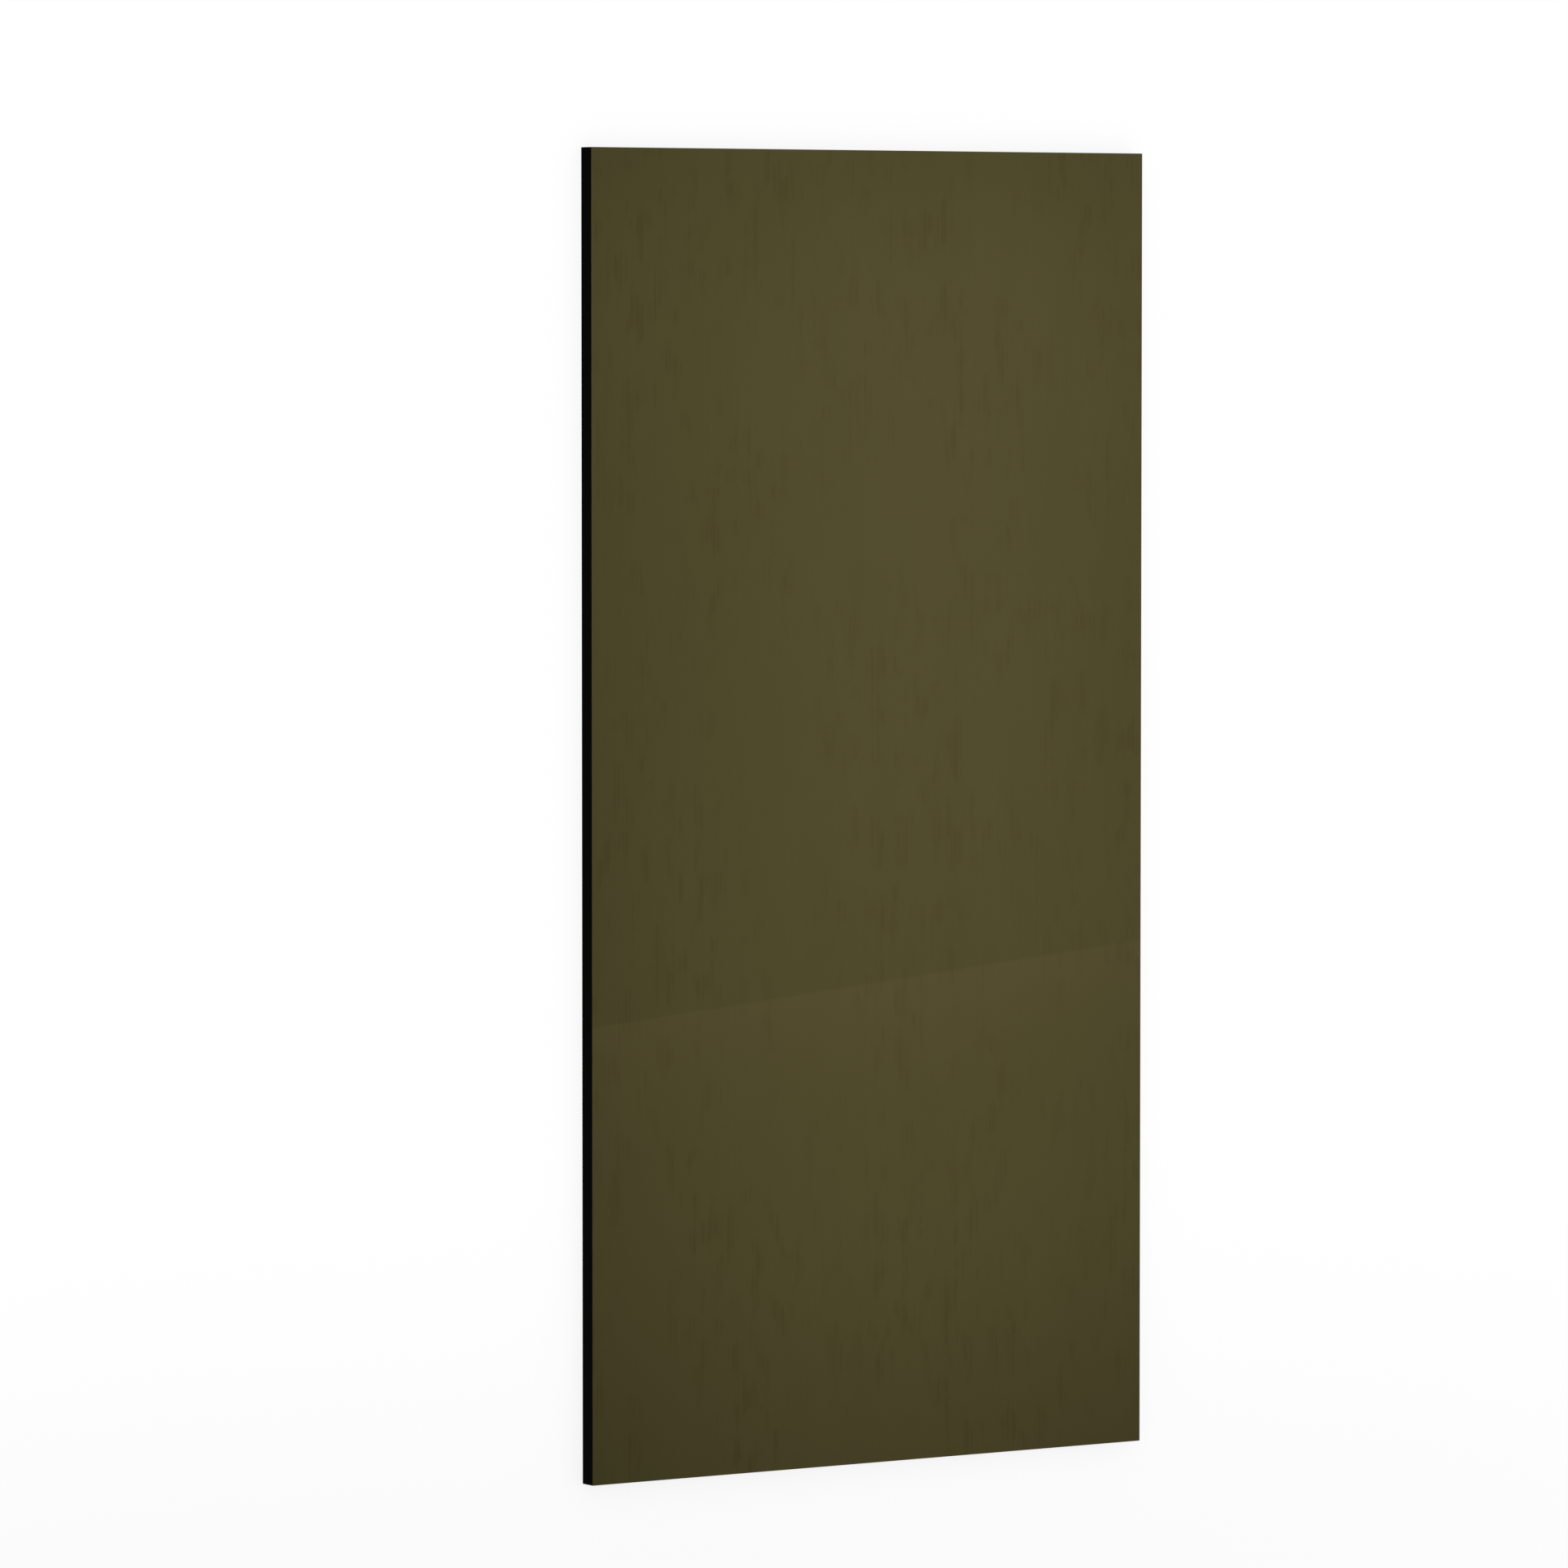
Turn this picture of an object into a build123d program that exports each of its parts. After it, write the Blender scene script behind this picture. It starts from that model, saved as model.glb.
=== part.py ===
from build123d import *
import os

# Full-size decorative laminate sheet, pressed and sawn as one solid slab.
# It lies flat on its back with the decor face up. The origin is the middle of the back face,
# X runs across the width, Y along the length and Z up, out of the decor face.

# Sizes of the sheet, in millimetres
sheet_width = 1219.2  # 4 ft, from long edge to long edge
sheet_length = 2438.4  # 8 ft, from foot edge to head edge
sheet_thickness = 35.0  # back face to decor face
arris = 0.5  # each leg of the 45 degree chamfer that breaks the sharp edges


def laminate_sheet():
    """The slab: its sawn outline raised to the thickness, with every sharp edge broken."""
    with BuildPart() as sheet:
        with BuildSketch(Plane.XY):
            Rectangle(sheet_width, sheet_length)
        extrude(amount=sheet_thickness)
        chamfer(sheet.edges(), length=arris)
    return sheet.part


os.makedirs("parts", exist_ok=True)
export_step(laminate_sheet(), "parts/laminate_sheet.step")
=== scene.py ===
"""Looks of a full-size decorative laminate sheet that lies flat under soft studio light.

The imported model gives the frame, in metres: X runs across the sheet, Y along it and Z up out of its
decor face. The sheet is modelled anew over its CAD node, with a gloss olive decor face, a black core
on the sawn edges and a plain sanded back.
"""

import logging
import math
from abc import ABC, abstractmethod
from collections.abc import Mapping
from dataclasses import dataclass, field
from enum import Enum
from typing import Any, Optional, Union

import bpy
from mathutils import Matrix, Vector


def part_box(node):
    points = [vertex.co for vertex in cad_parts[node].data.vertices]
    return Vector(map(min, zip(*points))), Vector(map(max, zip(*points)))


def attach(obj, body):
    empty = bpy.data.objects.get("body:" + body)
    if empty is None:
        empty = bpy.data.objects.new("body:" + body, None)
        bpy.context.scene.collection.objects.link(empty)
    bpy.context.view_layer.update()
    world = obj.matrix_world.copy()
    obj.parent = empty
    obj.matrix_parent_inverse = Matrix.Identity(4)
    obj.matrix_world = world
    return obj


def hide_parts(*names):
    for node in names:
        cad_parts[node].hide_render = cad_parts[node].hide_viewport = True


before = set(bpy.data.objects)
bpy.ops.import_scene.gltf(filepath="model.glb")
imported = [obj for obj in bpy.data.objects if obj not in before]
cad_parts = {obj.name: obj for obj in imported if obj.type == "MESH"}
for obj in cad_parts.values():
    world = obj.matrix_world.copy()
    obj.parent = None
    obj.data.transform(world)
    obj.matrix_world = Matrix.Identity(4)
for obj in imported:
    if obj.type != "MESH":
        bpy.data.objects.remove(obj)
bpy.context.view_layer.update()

log = logging.getLogger("laminate_sheet")

SHEET_NODE = "laminate_sheet"
SHEET_BODY = "root"
MILLIMETRE = 0.001
NOISE_MEAN = 0.5

Colour = tuple[float, float, float]
Triple = tuple[float, float, float]
Pair = tuple[float, float]
Key = Union[int, str]

# The way to the sheet's head, which is up in the picture, and the way out of its decor face
HEADWARD: Triple = (0.0, 1.0, 0.0)
UPWARD: Triple = (0.0, 0.0, 1.0)


class Region(Enum):
    """The regions of the sheet, each with its place among the material slots."""

    DECOR = 0
    CORE = 1
    BACK = 2


class Ray(Enum):
    """The kinds of ray that a finish or the backdrop tells apart, by their Light Path outputs."""

    CAMERA = "Is Camera Ray"
    DIFFUSE = "Is Diffuse Ray"
    GLOSSY = "Is Glossy Ray"
    TRANSMISSION = "Is Transmission Ray"


class Blend(Enum):
    """The ways in which two colours are mixed."""

    MIX = "MIX"
    MULTIPLY = "MULTIPLY"


class Socket:
    """An output socket of a node, with sums on it written as plain expressions."""

    def __init__(self, graph: "ShaderGraph", socket: bpy.types.NodeSocket) -> None:
        """Keeps the socket and the graph that new nodes go into."""
        self.graph = graph
        self.socket = socket

    def _math(self, operation: str, first: "Operand", second: "Operand") -> "Socket":
        """The result of one Math node on two values."""
        return self.graph.add("ShaderNodeMath", {"operation": operation}, {0: first, 1: second})

    def __add__(self, other: "Operand") -> "Socket":
        """This value plus another."""
        return self._math("ADD", self, other)

    def __radd__(self, other: "Operand") -> "Socket":
        """Another value plus this one."""
        return self._math("ADD", other, self)

    def __sub__(self, other: "Operand") -> "Socket":
        """This value less another."""
        return self._math("SUBTRACT", self, other)

    def __rsub__(self, other: "Operand") -> "Socket":
        """Another value less this one."""
        return self._math("SUBTRACT", other, self)

    def __mul__(self, other: "Operand") -> "Socket":
        """This value times another."""
        return self._math("MULTIPLY", self, other)

    def __rmul__(self, other: "Operand") -> "Socket":
        """Another value times this one."""
        return self._math("MULTIPLY", other, self)

    def __truediv__(self, other: "Operand") -> "Socket":
        """This value divided by another."""
        return self._math("DIVIDE", self, other)

    def __rtruediv__(self, other: "Operand") -> "Socket":
        """Another value divided by this one."""
        return self._math("DIVIDE", other, self)

    def __or__(self, other: "Operand") -> "Socket":
        """The larger of this value and another, which joins two masks."""
        return self._math("MAXIMUM", self, other)

    def __ror__(self, other: "Operand") -> "Socket":
        """The larger of another value and this one."""
        return self._math("MAXIMUM", other, self)

    def swing(self, amount: float) -> "Socket":
        """How far a noise pattern departs from its mean, times an amount."""
        return (self - NOISE_MEAN) * amount

    def eased(self, low: float, high: float) -> "Socket":
        """Turns the value into a mask with soft ends.

        Args:
            low: The value at which the mask is 0.
            high: The value at which the mask is 1, which may be the smaller of the two.

        Returns:
            The mask, from 0 to 1.
        """
        settings = {"interpolation_type": "SMOOTHSTEP"}
        sockets = {"Value": self, "From Min": low, "From Max": high}
        return self.graph.add("ShaderNodeMapRange", settings, sockets)


Operand = Union[Socket, float]


class ShaderGraph:
    """The nodes of one material or world, built up from an empty tree."""

    def __init__(self, tree: bpy.types.NodeTree) -> None:
        """Empties the tree and keeps it."""
        tree.nodes.clear()
        self.tree = tree

    def node(
        self,
        kind: str,
        settings: Optional[Mapping[str, Any]] = None,
        sockets: Optional[Mapping[Key, Any]] = None,
    ) -> bpy.types.Node:
        """Adds one node of any kind.

        Args:
            kind: The node's type name.
            settings: Values of the node's own properties, which are set first.
            sockets: Values or links of its inputs, by place, identifier or name.

        Returns:
            The node.
        """
        node = self.tree.nodes.new(kind)
        for name, value in (settings or {}).items():
            setattr(node, name, value)
        for key, value in (sockets or {}).items():
            self._feed(self._find(node.inputs, key), value)
        return node

    def add(
        self,
        kind: str,
        settings: Optional[Mapping[str, Any]] = None,
        sockets: Optional[Mapping[Key, Any]] = None,
        output: Key = 0,
    ) -> Socket:
        """Adds one node as above and takes its first output, or another by place, identifier or name."""
        outputs = self.node(kind, settings, sockets).outputs
        return Socket(self, self._find(outputs, output))

    @staticmethod
    def _find(among: bpy.types.bpy_prop_collection, key: Key) -> bpy.types.NodeSocket:
        """Finds a socket.

        Args:
            among: The node's inputs or outputs.
            key: The socket's place, identifier or name.

        Returns:
            The socket.
        """
        for socket in among:
            if socket.identifier == key:
                return socket
        return among[key]

    def _feed(self, target: bpy.types.NodeSocket, value: Any) -> None:
        """Links a socket to an input, or sets the input's own value.

        Args:
            target: The input.
            value: A Socket to link, or a number, a vector or a colour.
        """
        if isinstance(value, Socket):
            self.tree.links.new(value.socket, target)
        elif target.type == "RGBA":
            target.default_value = (*value, 1.0)
        else:
            target.default_value = value

    def position(self) -> Socket:
        """The point on the surface, in metres, in the piece's own frame."""
        return self.add("ShaderNodeTexCoord", output="Object")

    def axes(self, vector: Socket) -> tuple[Socket, Socket, Socket]:
        """The three parts of a vector."""
        parts = self.node("ShaderNodeSeparateXYZ", sockets={"Vector": vector}).outputs
        return Socket(self, parts["X"]), Socket(self, parts["Y"]), Socket(self, parts["Z"])

    def placed(self, position: Socket, scale: Triple, shift: Triple) -> Socket:
        """A point, scaled along each axis and then shifted."""
        sockets = {0: position, 1: scale, 2: shift}
        return self.add("ShaderNodeVectorMath", {"operation": "MULTIPLY_ADD"}, sockets)

    def rays(self, *kinds: Ray) -> Socket:
        """Finds whether a ray is of one of these kinds.

        Args:
            kinds: The kinds of ray.

        Returns:
            A mask that is 1 for such a ray and 0 for any other.
        """
        outputs = self.node("ShaderNodeLightPath").outputs
        found = Socket(self, outputs[kinds[0].value])
        for kind in kinds[1:]:
            found = found | Socket(self, outputs[kind.value])
        return found

    def mix(self, share: Operand, first: Any, second: Any, blend: Blend = Blend.MIX) -> Socket:
        """Mixes two colours.

        Args:
            share: How much of the second colour there is, from 0 to 1.
            first: A colour or a Socket with one.
            second: A colour or a Socket with one. A Socket with a number counts as a grey.
            blend: How the two are mixed.

        Returns:
            The mixed colour.
        """
        settings = {"data_type": "RGBA", "blend_type": blend.value}
        sockets = {"Factor_Float": share, "A_Color": first, "B_Color": second}
        return self.add("ShaderNodeMix", settings, sockets, output="Result_Color")

    def bump(self, pattern: Socket, height: float, strength: float = 1.0) -> Socket:
        """The normal of a surface that a pattern raises by a height, with a share of it showing."""
        sockets = {"Strength": strength, "Distance": height, "Height": pattern}
        return self.add("ShaderNodeBump", sockets=sockets)


@dataclass(frozen=True)
class Grain:
    """A noise pattern with its own size along each axis.

    Attributes:
        size: How far one feature reaches along X, Y and Z, in metres.
        detail: How many finer layers are laid over the first.
        shift: Where in the noise the pattern starts, so that no two patterns are alike.
        ends: The values of the noise at which its mask is 0 and 1.
    """

    size: Triple
    detail: float = 2.0
    shift: float = 0.0
    ends: Pair = (0.3, 0.7)

    def over(self, graph: ShaderGraph, position: Socket) -> Socket:
        """Lays the pattern over a surface.

        Args:
            graph: The nodes of the material.
            position: The point on the surface.

        Returns:
            The pattern, from 0 to 1 and mostly near its mean.
        """
        per_metre = tuple(1.0 / reach for reach in self.size)
        place = graph.placed(position, per_metre, (self.shift,) * 3)
        sockets = {"Vector": place, "Scale": 1.0, "Detail": self.detail}
        return graph.add("ShaderNodeTexNoise", sockets=sockets)

    def mask(self, graph: ShaderGraph, position: Socket) -> Socket:
        """Lays the pattern over a surface as a mask from 0 to 1 with soft ends."""
        return self.over(graph, position).eased(*self.ends)


@dataclass(frozen=True)
class Finish(ABC):
    """A surface finish that is drawn by nodes.

    Attributes:
        name: The name of the finish's material.
    """

    name: str

    @abstractmethod
    def surface(self, graph: ShaderGraph) -> Socket:
        """Draws the finish and returns its shader; each finish has its own."""

    def material(self) -> bpy.types.Material:
        """Makes the material.

        Returns:
            A new material with the finish's nodes.
        """
        made = bpy.data.materials.new(self.name)
        made.use_nodes = True
        graph = ShaderGraph(made.node_tree)
        graph.node("ShaderNodeOutputMaterial", sockets={"Surface": self.surface(graph)})
        return made


@dataclass(frozen=True)
class DecorFinish(Finish):
    """Olive printed paper under a clear overlay that is pressed to a high gloss.

    Attributes:
        name: The name of the finish's material.
        pigment: The olive of the print.
        stroke_pigment: The darker and redder ink of the strokes.
        stroke_share: How far a stroke goes towards that ink.
        between: How much of it there is between the strokes of a bundle.
        tone_swing: How much the print's tone changes from place to place.
        fibre_swing: How much it changes from fibre to fibre.
        roughness: The roughness of the gloss.
        roughness_swing: How much the roughness changes.
        peel_height: The height of the fine waves in the gloss.
        patches: Where the bundles gather.
        bundles: The bundles of strokes.
        strokes: The strokes, which run along the sheet.
        fibres: The fibres of the paper, which run the same way.
        tones: The broad changes of tone.
        peel: The fine waves in the gloss.
    """

    name: str = "decor_gloss_olive"
    pigment: Colour = (0.0894, 0.0760, 0.0296)
    stroke_pigment: Colour = (0.0789, 0.0640, 0.0240)
    stroke_share: float = 0.76
    between: float = 0.20
    tone_swing: float = 0.07
    fibre_swing: float = 0.06
    roughness: float = 0.032
    roughness_swing: float = 0.010
    peel_height: float = 0.004 * MILLIMETRE
    patches: Grain = Grain((0.18, 0.36, 1.0), detail=1.0, shift=6.4, ends=(0.30, 0.58))
    bundles: Grain = Grain((0.030, 0.080, 1.0), detail=2.0, shift=3.1, ends=(0.47, 0.66))
    strokes: Grain = Grain((0.0044, 0.60, 1.0), detail=1.0, shift=11.7, ends=(0.42, 0.60))
    fibres: Grain = Grain((0.0030, 0.30, 1.0), detail=3.0, shift=5.3)
    tones: Grain = Grain((0.10, 0.45, 1.0), detail=1.0, shift=8.9)
    peel: Grain = Grain((0.012, 0.014, 0.012), detail=0.0, shift=1.9)

    def surface(self, graph: ShaderGraph) -> Socket:
        """Draws the print with its faint strokes along the sheet, and the gloss over it.

        Args:
            graph: The nodes of the material.

        Returns:
            The shader.
        """
        position = graph.position()
        stroke = self.between + (1.0 - self.between) * self.strokes.mask(graph, position)
        bundle = self.bundles.mask(graph, position) * self.patches.mask(graph, position)
        tone = 1.0 + self.tones.over(graph, position).swing(self.tone_swing)
        fibre = 1.0 + self.fibres.over(graph, position).swing(self.fibre_swing)
        ink = graph.mix(bundle * stroke * self.stroke_share, self.pigment, self.stroke_pigment)
        peel = self.peel.over(graph, position)
        sockets = {
            "Base Color": graph.mix(1.0, ink, tone * fibre, Blend.MULTIPLY),
            "Roughness": self.roughness + peel.swing(self.roughness_swing),
            "Normal": graph.bump(peel, self.peel_height),
        }
        return graph.add("ShaderNodeBsdfPrincipled", sockets=sockets)


@dataclass(frozen=True)
class CoreFinish(Finish):
    """The black core on a sawn edge: pressed plies, one over the other, crossed by saw marks.

    Attributes:
        name: The name of the finish's material.
        resin: The black between the plies.
        ply: The plies, which are a little paler.
        roughness: The roughness of the edge.
        roughness_swing: How much the roughness changes from mark to mark.
        shine: How strongly the edge reflects.
        saw_height: The height of the saw marks.
        saw_strength: How much of that height shows.
        plies: The ply lines, which run along the edge.
        saw_marks: The saw marks, which run across it.
    """

    name: str = "core_sawn_black"
    resin: Colour = (0.0010, 0.0010, 0.0009)
    ply: Colour = (0.0048, 0.0044, 0.0040)
    roughness: float = 0.55
    roughness_swing: float = 0.30
    shine: float = 0.006
    saw_height: float = 0.03 * MILLIMETRE
    saw_strength: float = 0.6
    plies: Grain = Grain((0.9, 0.9, 0.00022), detail=2.0, shift=4.2, ends=(0.42, 0.70))
    saw_marks: Grain = Grain((0.0009, 0.0009, 0.05), detail=2.0, shift=7.6)

    def surface(self, graph: ShaderGraph) -> Socket:
        """Draws the ply lines along the edge and the saw marks across it.

        Args:
            graph: The nodes of the material.

        Returns:
            The shader.
        """
        position = graph.position()
        plies = self.plies.mask(graph, position)
        marks = self.saw_marks.over(graph, position)
        sockets = {
            "Base Color": graph.mix(plies, self.resin, self.ply),
            "Roughness": self.roughness + marks.swing(self.roughness_swing),
            "Specular IOR Level": self.shine,
            "Normal": graph.bump(marks, self.saw_height, self.saw_strength),
        }
        return graph.add("ShaderNodeBsdfPrincipled", sockets=sockets)


@dataclass(frozen=True)
class BackFinish(Finish):
    """The plain back, sanded along the length to take glue.

    Attributes:
        name: The name of the finish's material.
        paper: The dark back paper.
        scratch: The paler paper that a scratch lays open.
        roughness: The roughness of the back.
        roughness_swing: How much the roughness changes from scratch to scratch.
        shine: How strongly the back reflects.
        scratch_depth: The depth of the scratches.
        scratch_strength: How much of that depth shows.
        least_wear: How much of the scratches shows where the sanding was lightest.
        scratches: The sanding scratches, which run along the sheet.
        patches: Where the sanding was heavier.
    """

    name: str = "back_sanded_dark"
    paper: Colour = (0.020, 0.016, 0.012)
    scratch: Colour = (0.042, 0.035, 0.027)
    roughness: float = 0.72
    roughness_swing: float = 0.25
    shine: float = 0.25
    scratch_depth: float = 0.05 * MILLIMETRE
    scratch_strength: float = 0.5
    least_wear: float = 0.35
    scratches: Grain = Grain((0.0011, 0.16, 1.0), detail=3.0, shift=2.4, ends=(0.45, 0.75))
    patches: Grain = Grain((0.22, 0.35, 1.0), detail=3.0, shift=6.8)

    def surface(self, graph: ShaderGraph) -> Socket:
        """Draws the sanding scratches and the uneven wear that they leave.

        Args:
            graph: The nodes of the material.

        Returns:
            The shader.
        """
        position = graph.position()
        scratches = self.scratches.over(graph, position)
        wear = self.least_wear + (1.0 - self.least_wear) * self.patches.mask(graph, position)
        worn = scratches.eased(*self.scratches.ends) * wear
        sockets = {
            "Base Color": graph.mix(worn, self.paper, self.scratch),
            "Roughness": self.roughness + scratches.swing(self.roughness_swing),
            "Specular IOR Level": self.shine,
            "Normal": graph.bump(scratches, self.scratch_depth, self.scratch_strength),
        }
        return graph.add("ShaderNodeBsdfPrincipled", sockets=sockets)


@dataclass(frozen=True)
class FloorFinish(Finish):
    """A pale matt floor that shows as white and still takes a soft shadow, with a painted shade in front
    of the sheet's foot.

    Attributes:
        name: The name of the finish's material.
        paint: The floor's own colour, which takes the shadow and is neutral under the warm even light.
        roughness: The roughness of the paint.
        shine: How strongly the paint reflects.
        glow: An even glow over it, so that the two come to white together.
        shade: How much the floor's glow is dimmed at the middle of a soft painted shade in front of the
            sheet's foot.
        shade_middle: The middle of that shade.
        shade_reach: How far the shade reaches from its middle along X and Y.
    """

    name: str = "floor_pale"
    paint: Colour = (0.594, 0.60, 0.69)
    roughness: float = 1.0
    shine: float = 0.0
    glow: float = 0.84
    shade: float = 0.055
    shade_middle: Pair = (-1.2, -1.65)
    shade_reach: Pair = (6.0, 1.14)

    def surface(self, graph: ShaderGraph) -> Socket:
        """Lays a glow that the camera and reflections see over plain paint.

        Args:
            graph: The nodes of the material.

        Returns:
            The shader.
        """
        seen = graph.rays(Ray.CAMERA, Ray.GLOSSY, Ray.TRANSMISSION)
        # painted shade: the glow is dimmed in a soft patch in front of the sheet's foot, not shaded by
        # any lamp
        glow = self.glow - self._shade_mask(graph) * self.shade
        sockets = {
            "Base Color": self.paint,
            "Roughness": self.roughness,
            "Specular IOR Level": self.shine,
            "Emission Color": seen * glow,
            "Emission Strength": 1.0,
        }
        return graph.add("ShaderNodeBsdfPrincipled", sockets=sockets)

    def _shade_mask(self, graph: ShaderGraph) -> Socket:
        """Draws the soft painted shade, which dims the glow.

        Args:
            graph: The nodes of the material.

        Returns:
            A mask that is 1 at the middle of the shade and 0 past its reach.
        """
        shares = tuple(1.0 / reach for reach in self.shade_reach)
        start = tuple(-middle * share for middle, share in zip(self.shade_middle, shares))
        place = graph.placed(graph.position(), (*shares, 0.0), (*start, 0.0))
        distance = graph.add("ShaderNodeVectorMath", {"operation": "LENGTH"}, {0: place}, output="Value")
        return distance.eased(1.0, 0.0)


@dataclass(frozen=True, kw_only=True)
class CardFinish(Finish):
    """A faint warm glow, strongest at one long edge of a card and gone at the other.

    Attributes:
        name: The name of the finish's material.
        depth: How far apart the two long edges are.
        dark: The colour of the edge that doesn't glow.
        glow: The colour of the edge that glows most.
    """

    name: str = "card_warm_glow"
    depth: float
    dark: Colour = (0.0, 0.0, 0.0)
    glow: Colour = (0.210, 0.147, 0.080)

    def surface(self, graph: ShaderGraph) -> Socket:
        """Fades the glow across the card.

        Args:
            graph: The nodes of the material.

        Returns:
            The shader.
        """
        across = graph.axes(graph.position())[1]
        fade = (across + self.depth / 2) / self.depth
        colour = graph.mix(fade * fade, self.dark, self.glow)
        lit = graph.add("ShaderNodeEmission", sockets={"Color": colour})
        clear = graph.add("ShaderNodeBsdfTransparent")
        return graph.add("ShaderNodeAddShader", sockets={0: lit, 1: clear})


@dataclass
class LaminateSheet:
    """The sheet: one pressed slab, sawn square, with its sharp edges broken.

    Attributes:
        low: The lowest corner of the slab.
        high: The highest corner of the slab.
        arris: Each leg of the chamfer that breaks the sharp edges.
        skin: How deep the printed paper and its overlay reach below the decor face.
        slack: How far a face's middle may lie from the back and still be part of it.
        name: The name of the piece.
        finishes: The finish of each region.
    """

    low: Vector
    high: Vector
    arris: float = 0.5 * MILLIMETRE
    skin: float = 0.3 * MILLIMETRE
    slack: float = 0.1 * MILLIMETRE
    name: str = "laminate_sheet_panel"
    finishes: dict[Region, Finish] = field(
        default_factory=lambda: {
            Region.DECOR: DecorFinish(),
            Region.CORE: CoreFinish(),
            Region.BACK: BackFinish(),
        }
    )

    @classmethod
    def over_node(cls, node: str) -> "LaminateSheet":
        """A sheet of a CAD node's size, at its place."""
        low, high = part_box(node)
        return cls(low, high)

    @property
    def middle(self) -> Vector:
        """The middle of the slab."""
        return (self.low + self.high) / 2

    @property
    def face_middle(self) -> Vector:
        """The middle of the decor face."""
        return Vector((*self.middle.xy, self.high.z))

    @property
    def skin_level(self) -> float:
        """The height at which the printed skin ends and the core begins."""
        return self.high.z - self.skin

    def build(self) -> bpy.types.Object:
        """Models the slab and dresses it.

        Returns:
            The finished piece, which rides on the sheet's body and stands for its CAD node.
        """
        piece = self._slab()
        self._break_edges()
        self._part_off_skin()
        self._dress(piece)
        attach(piece, SHEET_BODY)
        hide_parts(SHEET_NODE)
        log.info("%s: %d faces", piece.name, len(piece.data.polygons))
        return piece

    def _slab(self) -> bpy.types.Object:
        """Adds the sawn slab at its size and place.

        Returns:
            The slab, with its place in its mesh.
        """
        bpy.ops.object.select_all(action="DESELECT")
        bpy.ops.mesh.primitive_cube_add(size=1.0, location=self.middle, scale=self.high - self.low)
        piece = bpy.context.active_object
        piece.name = self.name
        piece.data.name = self.name
        bpy.ops.object.transform_apply(location=True, rotation=True, scale=True)
        return piece

    def _break_edges(self) -> None:
        """Chamfers every sharp edge of the active slab."""
        bpy.ops.object.mode_set(mode="EDIT")
        bpy.ops.mesh.select_all(action="SELECT")
        bpy.ops.mesh.bevel(offset=self.arris, offset_type="OFFSET", segments=1, affect="EDGES")
        bpy.ops.object.mode_set(mode="OBJECT")

    def _part_off_skin(self) -> None:
        """Cuts the active slab's chamfer where the printed skin ends and the core begins."""
        bpy.ops.object.mode_set(mode="EDIT")
        bpy.ops.mesh.select_all(action="SELECT")
        bpy.ops.mesh.bisect(plane_co=(0.0, 0.0, self.skin_level), plane_no=UPWARD)
        bpy.ops.mesh.select_all(action="SELECT")
        bpy.ops.mesh.normals_make_consistent(inside=False)
        bpy.ops.object.mode_set(mode="OBJECT")

    def _dress(self, piece: bpy.types.Object) -> None:
        """Gives every face the finish of its region.

        Args:
            piece: The modelled slab.
        """
        for region in Region:
            piece.data.materials.append(self.finishes[region].material())
        for face in piece.data.polygons:
            face.material_index = self._region_of(face).value

    def _region_of(self, face: bpy.types.MeshPolygon) -> Region:
        """Finds the region that a face belongs to.

        Args:
            face: A face of the slab.

        Returns:
            The decor skin, the back, or the core between them.
        """
        if face.center.z > self.skin_level:
            return Region.DECOR
        if face.center.z < self.low.z + self.slack:
            return Region.BACK
        return Region.CORE


@dataclass(frozen=True)
class PhotoCamera:
    """The camera, where it sees the sheet as the photograph does.

    Attributes:
        name: The camera's name.
        eye: The camera's place from the middle of the decor face, in metres.
        aim: The point of the decor face at the middle of the picture, from the same middle.
        focal_length: The focal length of the lens, in millimetres.
        sensor: The width of the sensor, in millimetres.
        sight: How far the camera sees, which is past the floor's far edge.
    """

    name: str = "photo_camera"
    eye: Triple = (-9.1319, 0.9108, 13.8673)
    aim: Pair = (-0.194, 0.052)
    focal_length: float = 205.8
    sensor: float = 36.0
    sight: float = 200.0

    def place(self, sheet: LaminateSheet) -> bpy.types.Object:
        """Adds the camera, with the sheet's head edge up in the picture.

        Args:
            sheet: The sheet that it looks at.

        Returns:
            The camera, which is now the scene's own.
        """
        lens = bpy.data.cameras.new(self.name)
        lens.lens = self.focal_length
        lens.sensor_width = self.sensor
        lens.clip_end = self.sight
        camera = bpy.data.objects.new(self.name, lens)
        bpy.context.collection.objects.link(camera)
        back = (Vector(self.eye) - Vector((*self.aim, 0.0))).normalized()
        right = Vector(HEADWARD).cross(back).normalized()
        camera.location = sheet.face_middle + Vector(self.eye)
        camera.rotation_euler = Matrix((right, back.cross(right), back)).transposed().to_euler()
        bpy.context.scene.camera = camera
        return camera

    def mirrored(self, point: Pair, height: float) -> Vector:
        """Where the line of sight that the decor face mirrors at a point passes a height over it."""
        start = Vector(point)
        return start + (start - Vector(self.eye[:2])) * height / self.eye[2]


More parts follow.
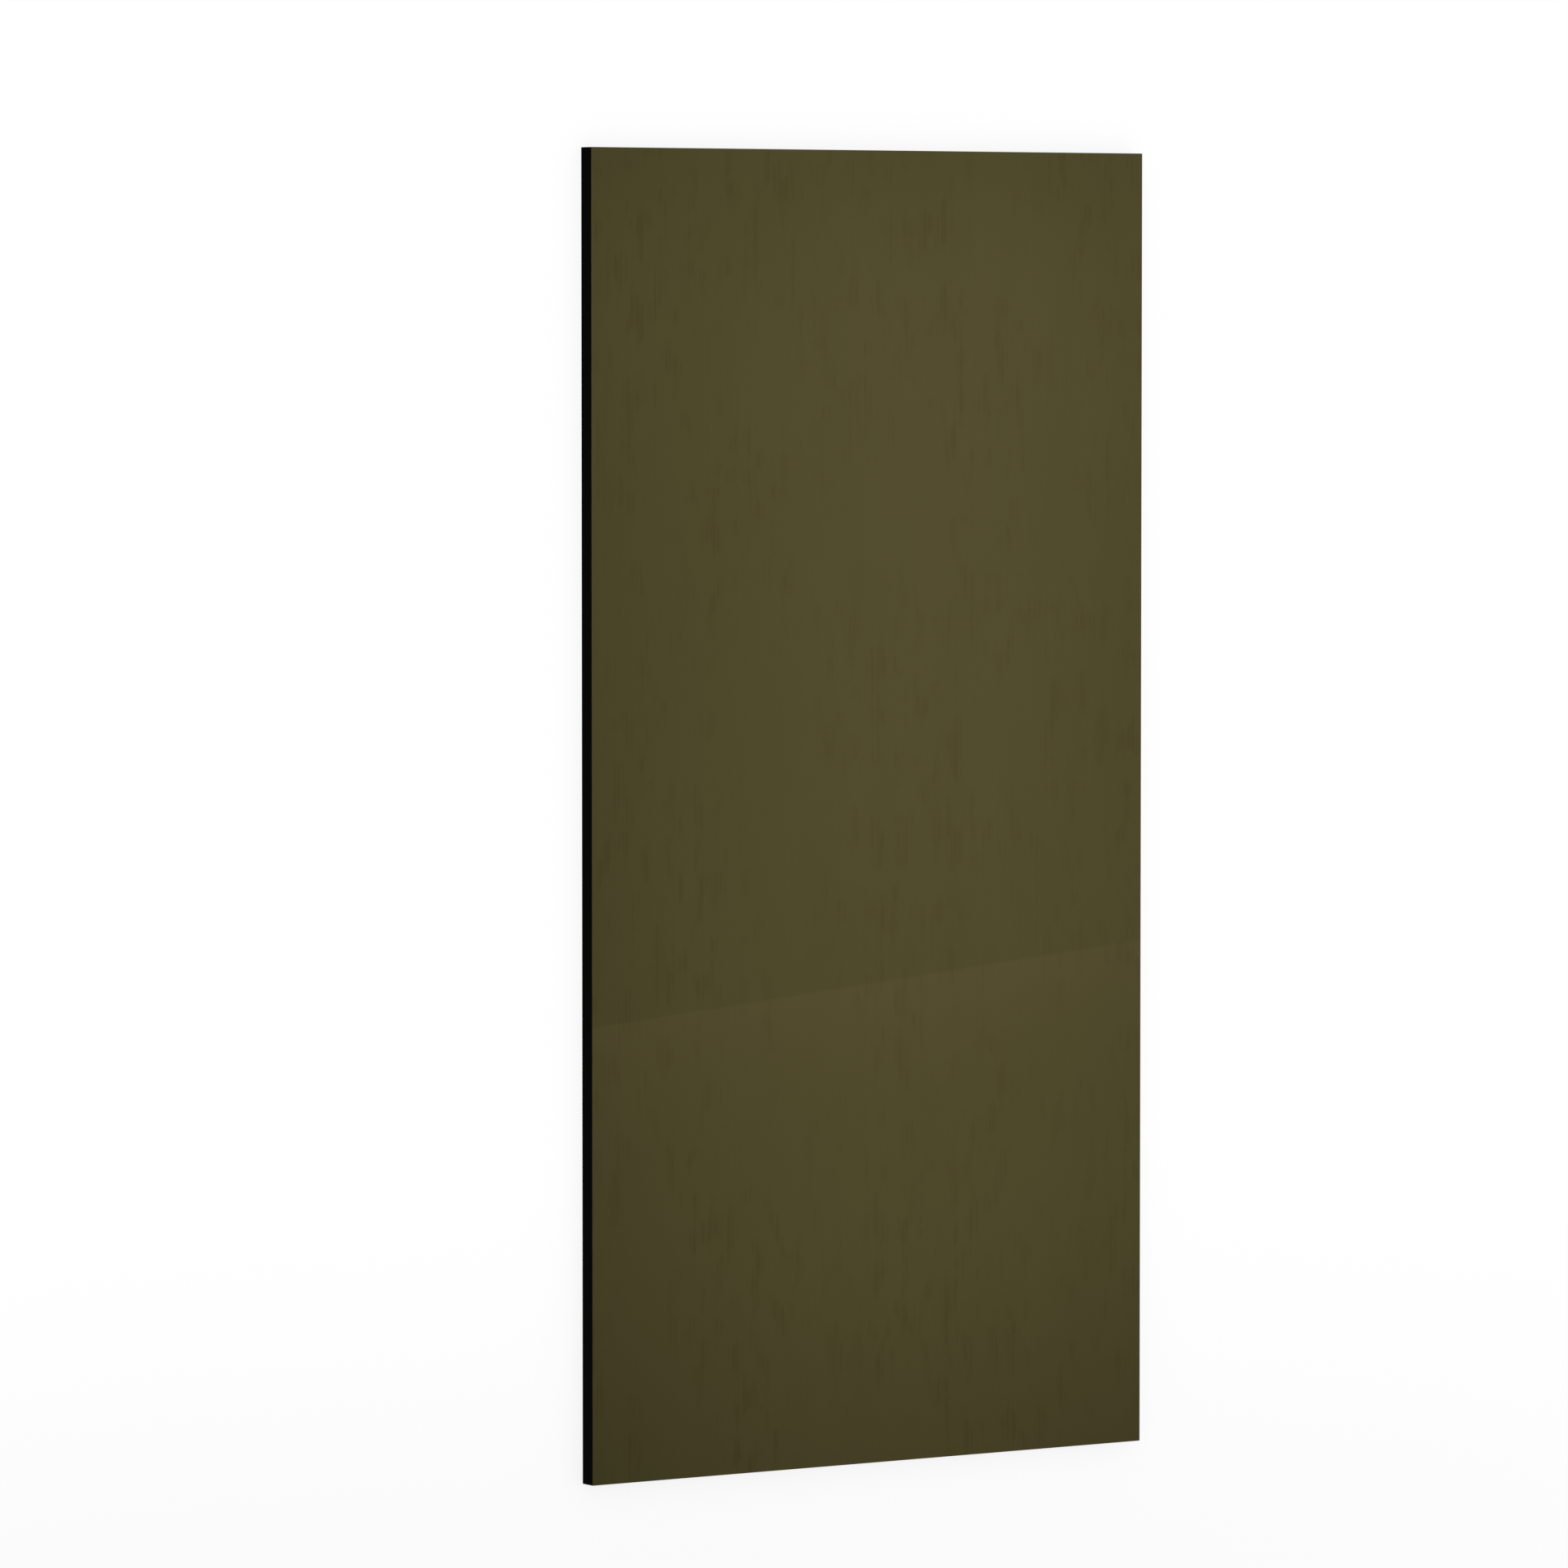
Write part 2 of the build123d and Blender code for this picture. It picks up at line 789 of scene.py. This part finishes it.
@dataclass(frozen=True)
class SoftLamp:
    """A large soft lamp over the sheet, with a grid that keeps its light on it.

    Attributes:
        name: The lamp's name.
        middle: The place that it hangs over, from the middle of the decor face.
        height: Its height over the face.
        size: How far its light field reaches along X and Y.
        spread: The angle that its grid lets out.
        power: Its power in watts.
    """

    name: str
    middle: Pair
    height: float
    size: Pair
    spread: float
    power: float

    def hang(self, sheet: LaminateSheet, floor: bpy.types.Object) -> bpy.types.Object:
        """Hangs the lamp over the sheet, facing down, where neither the camera nor the gloss sees it.

        Args:
            sheet: The sheet that it lights.
            floor: The floor, which it leaves to the even light.

        Returns:
            The lamp.
        """
        light = bpy.data.lights.new(self.name, "AREA")
        light.shape = "RECTANGLE"
        light.size, light.size_y = self.size
        light.spread = self.spread
        light.energy = self.power
        lamp = bpy.data.objects.new(self.name, light)
        lamp.location = sheet.face_middle + Vector((*self.middle, self.height))
        lamp.visible_camera = False
        lamp.visible_glossy = False
        bpy.context.collection.objects.link(lamp)
        spared = bpy.data.collections.new(f"{self.name}_spared")
        spared.objects.link(floor)
        lamp.light_linking.receiver_collection = spared
        spared.collection_objects[0].light_linking.link_state = "EXCLUDE"
        return lamp


HEAD_LAMP = SoftLamp(
    name="head_strip_lamp",
    middle=(0.151, 0.977),
    height=3.05,
    size=(1.93, 0.30),
    spread=math.radians(49.2),
    power=5.92,
)
FOOT_LAMP = SoftLamp(
    name="foot_box_lamp",
    middle=(0.130, -0.445),
    height=2.64,
    size=(1.50, 1.28),
    spread=math.radians(57.0),
    power=6.16,
)


@dataclass(frozen=True)
class Backdrop:
    """The studio round the sheet: a white backdrop, with a dim room that the gloss mirrors.

    Attributes:
        name: The name of the world.
        even_light: The slightly warm light that falls on the sheet from all round.
        horizon: What the gloss mirrors from near the horizon.
        overhead: What it mirrors from overhead.
        white: What the camera sees.
        low: The height over the horizon where the room starts to dim.
        high: The height over the horizon from which it is dim.
    """

    name: str = "studio_backdrop"
    even_light: Colour = (0.279, 0.276, 0.240)
    horizon: Colour = (0.25, 0.25, 0.25)
    overhead: Colour = (0.087, 0.076, 0.042)
    white: Colour = (1.0, 1.0, 1.0)
    low: float = math.radians(2.0)
    high: float = math.radians(20.0)

    def hang(self) -> None:
        """Draws the world: even light, the mirrored room and the white that the camera sees."""
        world = bpy.data.worlds.new(self.name)
        world.use_nodes = True
        bpy.context.scene.world = world
        graph = ShaderGraph(world.node_tree)
        upward = graph.axes(graph.add("ShaderNodeTexCoord", output="Generated"))[2]
        dim = upward.eased(math.sin(self.low), math.sin(self.high))
        room = graph.mix(dim, self.horizon, self.overhead)
        unseen = graph.mix(graph.rays(Ray.DIFFUSE), room, self.even_light)
        colour = graph.mix(graph.rays(Ray.CAMERA, Ray.TRANSMISSION), unseen, self.white)
        background = graph.add("ShaderNodeBackground", sockets={"Color": colour})
        graph.node("ShaderNodeOutputWorld", sockets={"Surface": background})


@dataclass(frozen=True)
class GlowCard:
    """A card over the sheet that shows only as the faint line of light in its gloss.

    Attributes:
        name: The card's name.
        left: Where the card's sharp edge shows at the sheet's left edge.
        right: Where it shows at the sheet's right edge.
        height: The card's height over the decor face.
        depth: How far the card reaches from its sharp edge.
        overreach: How many times longer the card is than the line that shows.
    """

    name: str = "glow_card"
    left: Pair = (-0.61, -0.3816)
    right: Pair = (0.61, -0.2666)
    height: float = 1.0
    depth: float = 0.36
    overreach: float = 1.4

    def hang(self, sheet: LaminateSheet, camera: PhotoCamera) -> bpy.types.Object:
        """Hangs the card where the decor face mirrors it to the camera.

        Args:
            sheet: The sheet that mirrors it.
            camera: The camera that sees the reflection.

        Returns:
            The card.
        """
        start = camera.mirrored(self.left, self.height)
        end = camera.mirrored(self.right, self.height)
        along = end - start
        outward = Vector((along.y, -along.x)).normalized()
        middle = (start + end) / 2 + outward * self.depth / 2
        bpy.ops.object.select_all(action="DESELECT")
        bpy.ops.mesh.primitive_plane_add(size=1.0)
        card = bpy.context.active_object
        card.name = self.name
        bpy.ops.object.mode_set(mode="EDIT")
        bpy.ops.mesh.select_all(action="SELECT")
        bpy.ops.transform.resize(value=(along.length * self.overreach, self.depth, 1.0))
        bpy.ops.object.mode_set(mode="OBJECT")
        card.location = sheet.face_middle + Vector((*middle, self.height))
        card.rotation_euler = (0.0, 0.0, math.atan2(along.y, along.x))
        card.data.materials.append(CardFinish(depth=self.depth).material())
        card.visible_camera = False
        card.visible_diffuse = False
        card.visible_shadow = False
        return card


@dataclass(frozen=True)
class Floor:
    """The plain pale floor under the sheet.

    Attributes:
        name: The floor's name.
        width: The length of each of its sides.
        gap: How far it lies below the sheet's back.
    """

    name: str = "studio_floor"
    width: float = 160.0
    gap: float = 0.5 * MILLIMETRE

    def lay(self, sheet: LaminateSheet) -> bpy.types.Object:
        """Lays the floor just under the sheet's back.

        Args:
            sheet: The sheet that lies on it.

        Returns:
            The floor.
        """
        bpy.ops.object.select_all(action="DESELECT")
        bpy.ops.mesh.primitive_plane_add(size=self.width, location=(0.0, 0.0, sheet.low.z - self.gap))
        floor = bpy.context.active_object
        floor.name = self.name
        floor.data.materials.append(FloorFinish().material())
        return floor


def main() -> None:
    """Builds the sheet, its camera and the studio round it."""
    logging.basicConfig(level=logging.INFO, format="%(name)s: %(message)s")
    bpy.context.scene.view_settings.view_transform = "Standard"
    sheet = LaminateSheet.over_node(SHEET_NODE)
    sheet.build()
    camera = PhotoCamera()
    camera.place(sheet)
    floor = Floor().lay(sheet)
    lamps = [lamp.hang(sheet, floor) for lamp in (HEAD_LAMP, FOOT_LAMP)]
    for made in (floor, GlowCard().hang(sheet, camera), *lamps):
        log.info("%s is in place", made.name)
    Backdrop().hang()


if __name__ == "__main__":
    main()
